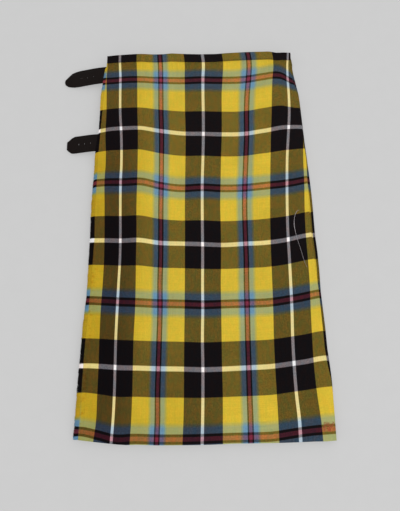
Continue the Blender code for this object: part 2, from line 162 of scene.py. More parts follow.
# Where the check's lines lie on the front: x of each line that runs down, at these y
LINE_Y = (306, 286, 260, 230, 195, 160, 120, 80, 40, 0, -40, -80, -120, -160, -200, -240, -275, -304)
DOWN_LINES = (
    # repeat, then x at each y
    (-0.2075, -137.0, -134.0, -134.4, -133.2, -132.2, -132.2, -130.1, -130.8, -129.0,
     -127.5, -126.4, -126.8, -128.0, -128.1, -127.7, -127.7, -127.7, -130.6),
    (0.0, -113.3, -113.9, -112.5, -111.8, -110.5, -107.6, -105.8, -106.1, -105.1,
     -103.6, -102.7, -103.5, -104.2, -104.7, -104.3, -103.9, -104.5, -105.9),
    (0.2045, -87.2, -86.9, -85.6, -84.5, -83.4, -81.7, -81.0, -80.9, -80.9,
     -79.7, -79.4, -78.7, -78.5, -79.5, -79.3, -79.1, -79.5, -80.8),
    (0.5, -50.3, -48.7, -47.7, -47.0, -46.2, -44.7, -44.1, -43.8, -43.7,
     -43.1, -42.6, -43.0, -42.3, -42.6, -43.1, -43.6, -43.1, -43.7),
    (0.7955, -11.6, -9.2, -9.0, -8.3, -7.8, -6.8, -6.8, -7.0, -7.1,
     -6.7, -6.6, -6.4, -6.5, -6.7, -6.8, -6.7, -7.1, -8.2),
    (1.0, 18.2, 20.8, 20.1, 20.2, 20.7, 20.7, 20.0, 18.9, 18.8,
     19.1, 19.4, 19.2, 19.5, 18.9, 19.5, 19.5, 19.1, 18.4),
    (1.2045, 49.8, 52.5, 51.5, 49.8, 49.6, 49.3, 47.8, 46.8, 45.9,
     46.5, 46.4, 45.6, 45.9, 46.1, 46.4, 47.0, 46.7, 46.5),
    (1.5, 92.4, 95.0, 93.7, 90.7, 89.0, 88.6, 86.5, 84.3, 83.0,
     83.2, 83.9, 83.5, 83.7, 83.7, 84.2, 84.5, 85.1, 85.2),
    (1.7955, 131.9, 134.6, 132.3, 130.4, 128.8, 126.7, 124.9, 123.2, 121.9,
     120.9, 120.8, 121.3, 121.5, 121.2, 121.7, 122.8, 123.7, 124.1),
    (2.0, 158.6, 157.2, 156.6, 157.4, 156.7, 153.9, 150.5, 148.6, 147.4,
     146.9, 147.6, 148.1, 148.3, 147.6, 148.1, 149.7, 152.5, 153.0),
    (2.2075, 171.9, 175.3, 176.6, 179.3, 181.0, 177.7, 175.5, 175.3, 174.0,
     173.7, 175.0, 176.0, 175.6, 175.7, 176.4, 179.1, 182.7, 184.2),
)
# and y of each line that runs across, at these x
LINE_X = (-160, -145, -125, -100, -75, -45, -15, 20, 50, 85, 115, 145, 165, 185, 203)
ACROSS_LINES = (
    # repeat, then y at each x
    (0.0, 253.3, 252.4, 253.3, 255.6, 255.8, 255.6, 255.0,
     256.3, 255.3, 256.8, 261.8, 264.5, 254.5, 256.9, 259.1),
    (0.5, 165.1, 164.3, 167.9, 169.7, 170.0, 165.6, 161.5,
     160.9, 159.6, 161.0, 165.5, 172.2, 173.4, 174.8, 180.7),
    (1.0, 78.0, 78.2, 79.7, 79.8, 80.7, 73.6, 69.1, 71.0, 69.4, 70.3, 73.5, 77.0, 80.5, 86.3, 92.4),
    (1.5, -13.4, -13.9, -13.9, -14.5, -13.5, -17.7, -18.9,
     -20.0, -21.0, -18.9, -17.5, -12.8, -7.8, -3.4, 1.6),
    (2.0, -105.3, -105.1, -105.9, -107.4, -108.3, -109.7, -110.3,
     -111.6, -110.5, -109.5, -108.2, -103.6, -100.0, -95.4, -91.2),
    (2.5, -200.0, -199.2, -199.9, -201.6, -202.3, -203.3, -203.6,
     -204.6, -203.6, -201.8, -200.0, -196.2, -193.3, -189.0, -186.9),
    (3.0, -287.9, -288.8, -293.2, -299.2, -298.2, -299.0, -299.1,
     -298.3, -297.1, -296.2, -295.1, -290.7, -287.9, -286.0, -284.5),
)
REPEAT_ACROSS = 132.0
REPEAT_DOWN = 184.0
BAND_REPEAT = -0.41
BACK_PHASE = -0.29
UNDER_PHASE = 0.31
PLEATS_MATCH = 420.0
TRUE_RUN = 8.0

# Half a repeat of the check, from the middle of the white line to the middle of the red one:
# the share where each yarn starts, in the threads that run down and in those that run across
HALF_REPEAT = (
    # yarn, running down, running across
    ("white", 0.0, 0.0),
    ("black", 0.033, 0.038),
    ("yellow", 0.412, 0.413),
    ("blue", 0.820, 0.806),
    ("black", 0.936, 0.930),
    ("red", 0.966, 0.968),
)
YARNS = {
    "white": (250, 246, 247),
    "black": (25, 21, 22),
    "yellow": (215, 184, 59),
    "blue": (108, 148, 175),
    "red": (135, 53, 70),
}
# Two crossing yarns look a little darker than their mean: painted shade between the threads
MIXING = 0.72
# How far a yarn runs into the next, as a share of half a repeat
SOFT = 0.005
SOFT_BLUE = 0.04

# Soft ridges on the front: middle, half length and half width, height, and lean in degrees
RIDGES = (
    # x, y, long, wide, high, lean
    (-70, 190, 95, 15, 1.1, 4),
    (-18, 120, 70, 18, 0.8, -6),
    (52, 215, 85, 17, 1, 3),
    (112, 175, 110, 14, 1.3, 7),
    (-88, -40, 120, 20, 0.9, 3),
    (8, -75, 150, 22, 0.8, -2),
    (120, -20, 90, 16, 1.2, 5),
    (66, -170, 100, 19, 1, -4),
    (-60, -240, 85, 21, 1.4, 3),
    (30, -285, 60, 17, 1.3, -5),
    (146, -215, 90, 15, 1.5, 8),
    (-118, -285, 55, 13, 1.2, 4),
)
# They fade in between these distances from the waist and from either side
RIDGES_BEGIN = (20.0, 60.0)
RIDGES_LEFT = (6.0, 30.0)
RIDGES_RIGHT = (4.0, 22.0)

FRINGE_LEAN = (
    # down, and how far the threads drop towards the hem for each millimetre of their length
    (0, 0.15), (60, 0.25), (130, 0.45), (152, 0.75), (185, 0.35), (260, 0.2),
    (350, 0), (603.5, 0),
)

WAIST_STRAP_TIP = (
    # from_tip, above, below
    (0, -1.4, 4.4),
    (1.2, 1, 7.6),
    (5.8, 6, 11.2),
    (11, 11, 12.8),
    (17, 13.2, 14),
    (25, 14.2, 14.4),
)
HIP_STRAP_TIP = (
    # from_tip, above, below
    (0, 5.2, 7.2),
    (2.6, 7.2, 10),
    (7.6, 12, 13.8),
    (12.2, 14.2, 14.3),
)
STRAPS = {
    # name: tip_x, tip_down, slope, first_hole, outline
    "strap_waist": (-218.4, 44.2, 5.2, 27.5, WAIST_STRAP_TIP),
    "strap_hip": (-208.9, 159.0, 1.5, 19.0, HIP_STRAP_TIP),
}


def smooth_step(value, start, end):
    t = np.clip((np.asarray(value, float) - start) / (end - start), 0.0, 1.0)
    return t * t * (3 - 2 * t)


def read_off(table, at):
    return np.interp(at, *zip(*table))


def outline(column, down):
    place = COLUMNS.index(column)
    value = read_off([(row[0], row[place]) for row in OUTLINE], down)
    if column == "right":
        return value - read_off(RIGHT_IN, down)
    return value


def side_edges(down):
    return outline("left", down), outline("right", down)


def row_y(x, down):
    left, right = side_edges(down)
    side = 2 * (x - left) / (right - left) - 1
    smooth = -down - outline("sag", down) * (1 - side * side) + outline("tilt", down) * side
    near_waist = 1 - smooth_step(down, 0, WAIST_DROP_END)
    near_hem = smooth_step(down, HEM_LIFT_START, HEM)
    return smooth - read_off(WAIST_DROP, x) * near_waist + read_off(HEM_LIFT, x) * near_hem


def placed(x, down, z):
    """Points in metres from the part's origin, for x, down and z in the garment's millimetres."""
    x, down, z = np.broadcast_arrays(np.asarray(x, float), down, z)
    return np.stack([x + ORIGIN[0], row_y(x, down) + ORIGIN[1], z], -1) * MM


def band_lift(down):
    return 1 - smooth_step(down, BAND_LIFT_END, BAND_LIFT_END + BAND_RAMP)


def hip_zone(down):
    return 1 - smooth_step(down, BUCKLE_DOWN, BUCKLE_DOWN + BUCKLE_DOWN_RAMP)


def level_z(level, down):
    return CLOTH / 2 + LAYER * (level + band_lift(down))


def over_buckles(x, down):
    inward = x - outline("left", down)
    return (1 - smooth_step(inward, BUCKLE_X, BUCKLE_X + BUCKLE_RAMP)) * hip_zone(down)


def hip_z(x, down):
    return level_z(0, down) + BUCKLE_ROOM * over_buckles(x, down)


def under_z(x, down):
    flat = level_z(PLEAT_LAYERS, down)
    return flat + over_buckles(x, down) * (level_z(1, down) + BUCKLE_ROOM - flat)


def front_z(x, down):
    left, right = side_edges(down)
    over = (1 - smooth_step(x - left, STRAP_X, STRAP_X + STRAP_RAMP)) * hip_zone(down)
    flat = level_z(PLEAT_LAYERS + 1, down) + LAYER * band_lift(down)
    strap_room = STRAP_THICK + 2 * STRAP_SPACE - (LAYER - CLOTH)
    strap_top = level_z(2, down) + BUCKLE_ROOM + strap_room + LAYER * band_lift(down)
    near_fold = smooth_step((x - right + FRONT_SAG_WIDTH) / FRONT_SAG_WIDTH, 0, 1)
    return flat + over * (strap_top - flat) - FRONT_SAG * near_fold


def ridge_z(x, down):
    """How far the front lifts off what it lies on."""
    points = placed(x, down, 0) / MM
    lift = np.zeros(points.shape[:-1])
    for middle_x, middle_y, long, wide, high, lean in RIDGES:
        turn = math.radians(lean)
        along = (points[..., 1] - middle_y) * math.cos(turn) + (points[..., 0] - middle_x) * math.sin(turn)
        across = (points[..., 0] - middle_x) * math.cos(turn) - (points[..., 1] - middle_y) * math.sin(turn)
        lift += high * np.exp(-((along / long) ** 4) - (across / wide) ** 2)
    left, right = side_edges(down)
    inside = smooth_step(x - left, *RIDGES_LEFT) * smooth_step(right - x, *RIDGES_RIGHT)
    return lift * inside * smooth_step(down, *RIDGES_BEGIN)


def smooth_at(knots, values, at):
    """A smooth line through the values at the knots, which rise or fall."""
    knots, values = np.array(knots, float), np.array(values, float)
    order = np.argsort(knots)
    knots, values = knots[order], values[order]
    slopes = np.gradient(values, knots)
    at = np.clip(at, knots[0], knots[-1])
    i = np.clip(np.searchsorted(knots, at) - 1, 0, len(knots) - 2)
    gap = knots[i + 1] - knots[i]
    t = (at - knots[i]) / gap
    rise = values[i + 1] - values[i]
    start, end = slopes[i] * gap, slopes[i + 1] * gap
    return values[i] + start * t + (3 * rise - 2 * start - end) * t**2 + (start + end - 2 * rise) * t**3


def repeat_between(at, lines, repeats):
    """The repeat at a place, from the two lines that it lies between."""
    found = np.zeros(at.shape)
    for i in range(len(repeats) - 1):
        share = (at - lines[i]) / (lines[i + 1] - lines[i])
        repeat = repeats[i] + share * (repeats[i + 1] - repeats[i])
        found = np.where((share >= 0) | (i == 0), repeat, found)
    return found


def check_at(points):
    """The check's repeats across and down at points in metres."""
    x, y = points[..., 0] / MM, points[..., 1] / MM
    down_lines = [smooth_at(LINE_Y, line[1:], y) for line in DOWN_LINES]
    across_lines = [smooth_at(LINE_X, line[1:], x) for line in ACROSS_LINES]
    across = repeat_between(x, down_lines, [line[0] for line in DOWN_LINES])
    down = repeat_between(y, across_lines, [line[0] for line in ACROSS_LINES])
    return np.stack([across, down], -1)


def new_object(name, mesh, look):
    made = bpy.data.objects.new(name, mesh)
    bpy.context.scene.collection.objects.link(made)
    if look is not None:
        mesh.materials.append(look)
    return made


def cells(index):
    """The four corners of each cell in a grid of point numbers."""
    return np.stack([index[:-1, :-1], index[1:, :-1], index[1:, 1:], index[:-1, 1:]], -1).reshape(-1, 4)


def grid_mesh(name, points, repeats, places):
    """A mesh through rows of points, with the check's repeats and its places as UV maps."""
    rows, columns = points.shape[:2]
    quads = cells(np.arange(rows * columns).reshape(rows, columns))
    mesh = bpy.data.meshes.new(name)
    mesh.from_pydata(points.reshape(-1, 3).tolist(), [], quads.tolist())
    for map_name, given in (("check", repeats), ("place", places)):
        layer = mesh.uv_layers.new(name=map_name)
        layer.data.foreach_set("uv", given.reshape(-1, 2)[quads.ravel()].ravel())
    mesh.validate()
    return mesh


def cloth(name, points, repeats, look, flip=False, from_edge=None):
    """A closed cloth sheet through rows of middle points."""
    places = np.full(repeats.shape, 100.0)
    if from_edge is not None:
        places[..., 0] = from_edge
    places[..., 1] = -points[..., 1] / MM
    mesh = grid_mesh(name, points, repeats, places)
    if flip:
        mesh.flip_normals()
    made = new_object(name, mesh, look)
    wall = made.modifiers.new("wall", "SOLIDIFY")
    wall.thickness = SHEET * MM
    wall.offset = 0
    wall.use_even_offset = True
    wall.use_quality_normals = True
    settle(made)
    return made


def settle(made, sharp=50):
    """The object's modifiers made its own mesh, smooth but for its edges."""
    bpy.context.view_layer.update()
    graph = bpy.context.evaluated_depsgraph_get()
    shaped = made.evaluated_get(graph)
    mesh = bpy.data.meshes.new_from_object(shaped, preserve_all_data_layers=True, depsgraph=graph)
    made.modifiers.clear()
    made.data = mesh
    mesh.shade_smooth()
    mesh.set_sharp_from_angle(angle=math.radians(sharp))


def run_length(points):
    """Distance along each row of points, in millimetres."""
    steps = np.linalg.norm(np.diff(points, axis=1), axis=-1) / MM
    return np.concatenate([np.zeros((len(points), 1)), np.cumsum(steps, 1)], 1)


def fold_arc(x, low, high, side, reach=1.8):
    """(x, z) round a fold that bulges to the right for side 1 and to the left for -1."""
    points = []
    for part in range(FOLD_POINTS):
        angle = math.pi * part / (FOLD_POINTS - 1)
        height = (low + high) / 2 - (high - low) / 2 * math.cos(angle)
        points.append((x + side * reach * math.sin(angle), height))
    return points


DOWNS = np.unique(np.concatenate([np.linspace(TOP_EDGE, 24, 10), np.linspace(24, HEM, 146)]))


def every(step):
    """Each so many of the rows from the waist, with the hem's own row last."""
    return DOWNS[::step] if (len(DOWNS) - 1) % step == 0 else np.append(DOWNS[::step], DOWNS[-1])


def laid_out(rows, downs):
    """A sheet's x, points and check, from its rows of (x, z)."""
    table = np.array(rows)
    points = placed(table[..., 0], downs[:, None], table[..., 1])
    return table[..., 0], points, check_at(points)


def front_cloth(look):
    rows = []
    for down in DOWNS:
        left, right = side_edges(down)
        start, edges = pleat_edges(down)
        seam = inner_fold(start, edges, PLEATS) + LAST_TURN + SEAM
        low = float(level_z(2, down))
        turn_x = right - 2 * TURN
        high = float(front_z(turn_x, down))
        row = [(x, low) for x in np.linspace(seam, turn_x, BEHIND_POINTS + 1)[:-1]]
        row += fold_arc(turn_x, low, high, 1)
        across = np.linspace(turn_x, left + FRINGE_STRIP + SHEET_GAP, FRONT_COLUMNS)[1:]
        heights = front_z(across, down) + ridge_z(across, np.full_like(across, down))
        rows.append(row + list(zip(across, heights)))
    x, points, repeats = laid_out(rows, DOWNS)
    fold = BEHIND_POINTS + FOLD_POINTS - 1
    behind = run_length(points)[:, fold : fold + 1] - run_length(points)[:, :fold]
    repeats[:, :fold, 0] = repeats[:, fold : fold + 1, 0] + behind / REPEAT_ACROSS
    from_edge = x - outline("left", DOWNS)[:, None]
    return points, cloth("front_cloth", points, repeats, look, from_edge=from_edge)


def pleat_edges(down):
    left, fold = side_edges(down)
    start = left + HIP
    width = (fold - start) / PLEATS
    edges = [start + width * count for count in range(1, PLEATS)]
    return start, edges + [fold + read_off(LAST_PEEK, down)]


def inner_fold(start, edges, pleat):
    if pleat == PLEATS:
        return edges[-2] + INNER_STOP
    over = pleat - (PLEAT_LAYERS + 1) // 2
    return start if over < 0 else edges[over] + INNER_STOP


def pleat_run(start, edges, pleat, backwards):
    turn = inner_fold(start, edges, pleat + 1 if backwards else pleat)
    crossed = [i for i in range(pleat) if edges[i] > turn]
    high = 2 * len(crossed)
    points = [(turn, high)]
    for i in crossed:
        points.append((edges[i] + OVER_EDGE, high))
        points.append((edges[i] + OVER_EDGE + RISE / 2, high - 1))
        high -= 2
        points.append((edges[i] + OVER_EDGE + RISE, high))
    points.append((edges[pleat], 0))
    if not backwards:
        return points
    return [(x, level + 1) for x, level in reversed(points)]


def with_arcs(path, reach=0.7, count=5):
    """The path of (x, level) with each upright step between two layers made a round fold.

    It also gives each point's pleat, counted at the outer folds.
    """
    points, marks = [], []
    pleat = 0
    i = 0
    while i < len(path):
        x, level = path[i]
        if i + 1 < len(path) and path[i + 1][0] == x and path[i + 1][1] != level:
            outer = level == 0
            side = 1 if outer else -1
            for part in range(count):
                angle = math.pi * part / (count - 1)
                height = level + 0.5 - 0.5 * math.cos(angle)
                points.append((x - side * reach * (1 - math.sin(angle)), height))
                marks.append(pleat + (1 if outer and part > count // 2 else 0))
            pleat += 1 if outer else 0
            i += 2
        else:
            points.append((x, level))
            marks.append(pleat)
            i += 1
    return points, marks


def back_cloth(look):
    inward = (HIP_TURN + SEAM, 30.0, BUCKLE_X, BUCKLE_X + BUCKLE_RAMP / 2, HIP)
    rows, marks = [], []
    downs = every(3)
    for down in downs:
        left = side_edges(down)[0]
        start, edges = pleat_edges(down)
        path = []
        for pleat in range(PLEATS):
            run = pleat_run(start, edges, pleat, backwards=False)
            path += (run[1:] if pleat == 0 else run) + pleat_run(start, edges, pleat, backwards=True)
        end = inner_fold(start, edges, PLEATS)
        path += [(end, 2), (end + LAST_TURN, 2)]
        path, marks = with_arcs(path)
        row = [(left + step, float(hip_z(left + step, down))) for step in inward]
        row += [(x, float(level_z(level, down))) for x, level in path]
        rows.append(row)
    marks = np.array([0] * len(inward) + marks)
    _, points, repeats = laid_out(rows, downs)
    repeats[..., 0] = pleated_repeats(points, marks, downs) + BACK_PHASE
    return points, cloth("back_cloth", points, repeats, look)


def pleated_repeats(points, marks, downs):
    """Repeats across the pleated cloth: each pleat's face carries on from the last one's.

    The hidden part of each pleat takes one whole repeat, so the check stays whole on the outside,
    and next to the fold, where it may show, the check keeps its own size.
    Each pleat's edge keeps to its own thread from the waist to the hem.
    """
    lengths = run_length(points)
    across = np.zeros(points.shape[:2])
    start, edges = pleat_edges(PLEATS_MATCH)
    matched = [start] + edges
    for row, down in enumerate(downs):
        start, edges = pleat_edges(down)
        edge_x = [start] + edges
        for pleat in range(PLEATS + 1):
            of_pleat = np.nonzero(marks == pleat)[0]
            x = points[row, of_pleat, 0] / MM - ORIGIN[0]
            moved = matched[pleat] - edge_x[pleat]
            if pleat == 0:
                across[row, of_pleat] = (x + moved) / REPEAT_ACROSS
                continue
            along = lengths[row, of_pleat]
            low_enough = points[row, of_pleat, 2] / MM < level_z(0.6, down)
            seen = (x >= edge_x[pleat] - 0.2) & low_enough
            first = int(np.argmax(seen)) if seen.any() else len(x) - 1
            near_edge = np.minimum(along - along[0], TRUE_RUN)
            rest = max(along[first] - along[0] - TRUE_RUN, 1e-6)
            folded = np.clip((along - along[0] - TRUE_RUN) / rest, 0, 1)
            hidden = near_edge / REPEAT_ACROSS + folded * (1 - TRUE_RUN / REPEAT_ACROSS)
            shown = (np.maximum(x, edge_x[pleat]) + moved) / REPEAT_ACROSS
            hidden_repeats = matched[pleat] / REPEAT_ACROSS + hidden - 1
            across[row, of_pleat] = np.where(np.arange(len(x)) < first, hidden_repeats, shown) + pleat
    return across


def under_cloth(look):
    rows = []
    downs = every(2)
    for down in downs:
        left, right = side_edges(down)
        seam = left + HIP_TURN
        low, high = float(hip_z(seam, down)), float(under_z(left, down))
        turn_x = left + 2 * TURN
        row = [(x, low) for x in np.linspace(seam, turn_x, 4)[:-1]]
        row += fold_arc(turn_x, low, high, -1, reach=1.2)
        across = np.linspace(turn_x, right - UNDER_EDGE, UNDER_COLUMNS)[1:]
        rows.append(row + list(zip(across, under_z(across, down))))
    _, points, repeats = laid_out(rows, downs)
    repeats[..., 0] = UNDER_PHASE - run_length(points) / REPEAT_ACROSS
    return points, cloth("under_cloth", points, repeats, look, flip=True)


def band_cloth(name, columns, height, side, look):
    """A band of the same cloth on one face of a panel, its top turned over the panel's edge."""
    columns = np.array(columns)
    rows, repeats_down = [], []
    base = height(columns)
    bottom = [(BAND, 0.62), (BAND - 0.3, 0.95), (BAND - 1.1, 1.0)]
    middle = [(down, 1.0) for down in np.linspace(BAND - 2.4, 1.0, 8)]
    top = [(0.35, 0.92), (0.1, 0.72), (0.0, 0.45), (0.0, 0.1)]
    for down, out in bottom + middle + top:
        rows.append(placed(columns, down, base + side * LAYER * out))
        repeats_down.append(BAND_REPEAT + (down - (1 - out) * LAYER) / REPEAT_DOWN)
    points = np.array(rows)
    repeats = check_at(points)
    repeats[..., 1] = np.array(repeats_down)[:, None]
    return points, cloth(name, points, repeats, look, flip=side < 0)


def bands(look):
    down = TOP_EDGE
    left, right = side_edges(down)
    made = {}
    spans = {
        "band_front": (left, right - TURN, front_z, 1),
        "band_back": (left + TURN, right - 2 * TURN, hip_z, -1),
        "band_under": (left + TURN, right - UNDER_EDGE, under_z, 1),
    }
    for name, (first, last, height, side) in spans.items():
        columns = np.linspace(first, last, BAND_COLUMNS)
        made[name] = band_cloth(name, columns, lambda x, at=height: at(x, down), side, look)
    return made


def tubes(name, paths, radii, sides, look, repeats=None):
    """Thin closed tubes along many short paths of as many points each, joined into one mesh."""
    paths = np.asarray(paths, float)
    count, stops = paths.shape[:2]
    radii = np.broadcast_to(np.asarray(radii, float), (count, stops))
    along = np.gradient(paths, axis=1)
    along /= np.linalg.norm(along, axis=-1, keepdims=True)
    up = np.array([0.0, 0.0, 1.0])
    sideways = np.cross(along, up)
    sideways /= np.maximum(np.linalg.norm(sideways, axis=-1, keepdims=True), 1e-9)
    over = np.cross(sideways, along)
    rings = []
    for corner in range(sides):
        turn = 2 * math.pi * corner / sides + math.pi / 2
        rings.append(paths + radii[..., None] * (math.cos(turn) * sideways + math.sin(turn) * over))
    points = np.stack(rings, 2)
    index = np.arange(count * stops * sides).reshape(count, stops, sides)
    ahead = np.roll(index, -1, 2)
    quads = np.stack([index[:, :-1], ahead[:, :-1], ahead[:, 1:], index[:, 1:]], -1).reshape(-1, 4)
    faces = quads.tolist() + index[:, 0, ::-1].tolist() + index[:, -1].tolist()
    mesh = bpy.data.meshes.new(name)
    mesh.from_pydata(points.reshape(-1, 3).tolist(), [], faces)
    if repeats is not None:
        layer = mesh.uv_layers.new(name="check")
        loops = np.zeros(len(mesh.loops), np.int32)
        mesh.loops.foreach_get("vertex_index", loops)
        per_path = np.asarray(repeats, float).reshape(count, 1, 2)
        per_point = np.repeat(per_path, stops * sides, 1).reshape(-1, 2)
        layer.data.foreach_set("uv", per_point[loops].ravel())
    mesh.shade_smooth()
    return new_object(name, mesh, look)


def fringe_strip(look):
    """The woven strip that the fringe's threads come out of."""
    outer = read_off(FRINGE_IN, DOWNS)[:, None] + 0.1
    strip = outer + (FRINGE_STRIP - outer) * np.array([1.0, 0.67, 0.33, 0.0])
    x = outline("left", DOWNS)[:, None] + strip
    points = placed(x, DOWNS[:, None], front_z(x, DOWNS[:, None]))
    return cloth("fringe_edge", points, check_at(points), look, from_edge=strip)


def fringe_threads(look):
    """Loose weft threads past the apron's woven edge, close together in two layers."""
    draw = random.Random(7)
    paths, radii, repeats = [], [], []
    clump = [draw.uniform(-1, 1) for _ in range(FRINGE_THREADS // FRINGE_CLUMP + 2)]
    for number in range(FRINGE_THREADS):
        down = BAND + (HEM - BAND - 0.6) * number / (FRINGE_THREADS - 1)
        left = float(outline("left", down))
        share = number / FRINGE_CLUMP
        pull = clump[int(share)] * (1 - share % 1) + clump[int(share) + 1] * (share % 1)
        length = float(read_off(FRINGE_LONG, down))
        length *= 1 + 0.05 * pull + draw.uniform(-0.06, 0.04)
        lean = float(read_off(FRINGE_LEAN, down)) + draw.uniform(-0.07, 0.07) + 0.05 * pull
        root = FRINGE_ROOT + float(read_off(FRINGE_IN, down))
        z = float(front_z(left, down)) + (FRINGE_LAYER if number % 2 else -FRINGE_LAYER)
        droop = 1.6 * (1 - float(hip_zone(down))) * (0.6 + 0.5 * draw.random())
        lift = draw.uniform(-0.15, 0.15)
        base = placed(left + root, down, z)
        repeat = check_at(base)
        path = []
        for part in (0.0, 0.3, 0.6, 0.85, 1.0):
            x = left + root - (length + root) * part
            y = float(row_y(left, down)) - lean * length * part**1.5
            path.append((x + ORIGIN[0], y + ORIGIN[1], z + lift * part - droop * part**2))
        paths.append(path)
        wide = draw.uniform(0.32, 0.42)
        radii.append([wide, wide, wide * 0.96, wide * 0.85, wide * 0.35])
        repeats.append(repeat)
    return tubes("fringe_threads", np.array(paths) * MM, np.array(radii) * MM, 4, look, repeats)


def corner_threads(look):
    """Short rough threads worked loose at the hem's right corner."""
    draw = random.Random(23)
    paths = []
    for number in range(CORNER_THREADS):
        x, y = draw.uniform(184.0, 200.5), -276.0 - 11.5 * draw.random()
        turn = math.pi / 2 + draw.uniform(-0.6, 0.6) + (0.9 if number % 5 == 0 else 0.0)
        long = draw.uniform(1.8, 4.2)
        rise = draw.uniform(0.05, 0.3)
        path = []
        for part in np.linspace(-0.5, 0.5, 6):
            wave = 0.25 * math.sin(5 * part + number)
            at_x = x + long * part * math.cos(turn) - wave * math.sin(turn)
            at_y = y + long * part * math.sin(turn) + wave * math.cos(turn)
            path.append(on_front(min(at_x, 201.6), at_y, rise * math.cos(math.pi * part)))
        paths.append(path)
    return tubes("corner_threads", paths, 0.14 * MM, 4, look)


def on_front(x, y, lift):
    """A point on the front cloth at x and y in millimetres from the part's origin."""
    x, y = x - ORIGIN[0], y - ORIGIN[1]
    down = -y
    for _ in range(12):
        down += float(row_y(x, down)) - y
    z = float(front_z(x, down) + ridge_z(np.array(x), down)) + CLOTH / 2 + lift
    return (x + ORIGIN[0]) * MM, (y + ORIGIN[1]) * MM, z * MM


def curve_through(points, count):
    """Evenly spaced points on a smooth line through a few."""
    points = np.array(points, float)
    ends = np.vstack([2 * points[0] - points[1], points, 2 * points[-1] - points[-2]])
    out = []
    for t in np.linspace(0, len(points) - 1, count):
        i = min(int(t), len(points) - 2)
        s = t - i
        a, b, c, d = ends[i : i + 4]
        bend = (2 * a - 5 * b + 4 * c - d) * s * s
        out.append(0.5 * (2 * b + (c - a) * s + bend + (3 * b - a - 3 * c + d) * s**3))
    return np.array(out)


STRAY_THREAD = (
    # x, y from the part's origin
    (165.5, 34.4), (160.9, 31.2), (157.7, 22.4), (156.8, 9.7), (158.7, -2.9),
    (161.2, -13.9), (165.7, -30.9), (170.1, -47.8), (173.4, -55.4),
)
STRAY_RADII = (
    # point along it, radius
    (0, 0.10), (2, 0.20), (6, 0.20), (8, 0.24), (9, 0.40), (11, 0.26), (14, 0.16), (25, 0.12),
)


def stray_thread(look):
    points = STRAY_RADII[-1][0] + 1
    path = [on_front(x, y, 0.25) for x, y in curve_through(STRAY_THREAD, points)]
    radii = read_off(STRAY_RADII, range(points))
    return tubes("stray_thread", [path], radii[None] * MM, 5, look)


def stitches(look):
    """Small stitches that hold the band's lower edge to the cloth."""
    draw = random.Random(11)
    left, right = side_edges(BAND)
    paths = []
    for number in range(int((right - left - 10) / STITCH_STEP)):
        x = left + 5 + number * STITCH_STEP
        ends = []
        for part, lift in ((0.0, -0.1), (0.35, 0.12), (0.7, 0.12), (1.0, -0.1)):
            at = x + STITCH_LONG * part
            down = BAND - 1.0 + 0.25 * draw.uniform(-1, 1)
            z = float(front_z(at, TOP_EDGE)) + LAYER + 0.5 + lift
            ends.append(placed(at, down, z))
        paths.append(ends)
    return tubes("band_stitches", paths, 0.17 * MM, 4, look)


def strap_line(tip_x, tip_down, slope, from_tip):
    turn = math.radians(slope)
    return tip_x + from_tip * math.cos(turn), -tip_down + from_tip * math.sin(turn)


def strap_z(x, tip_x, down):
    left = float(outline("left", down))
    inside = float(level_z(1, down)) + BUCKLE_ROOM + CLOTH / 2 + STRAP_SPACE + STRAP_THICK / 2
    fallen = float(smooth_step(left - STRAP_FREE - x, 0, left - STRAP_FREE - tip_x))
    return inside + fallen * (STRAP_THICK / 2 + SEAM - inside)


STRAP_PROFILE = (
    # share of half the width from the lower edge, share of the thickness; the upper half mirrors it
    (-1, 0.55),
    (-0.985, 0.86),
    (-0.95, 0.98),
    (-0.9, 1.0),
    (-0.86, 0.99),
    (-0.82, 0.86),
    (-0.78, 0.98),
    (-0.5, 1.0),
    (0, 1.0),
)


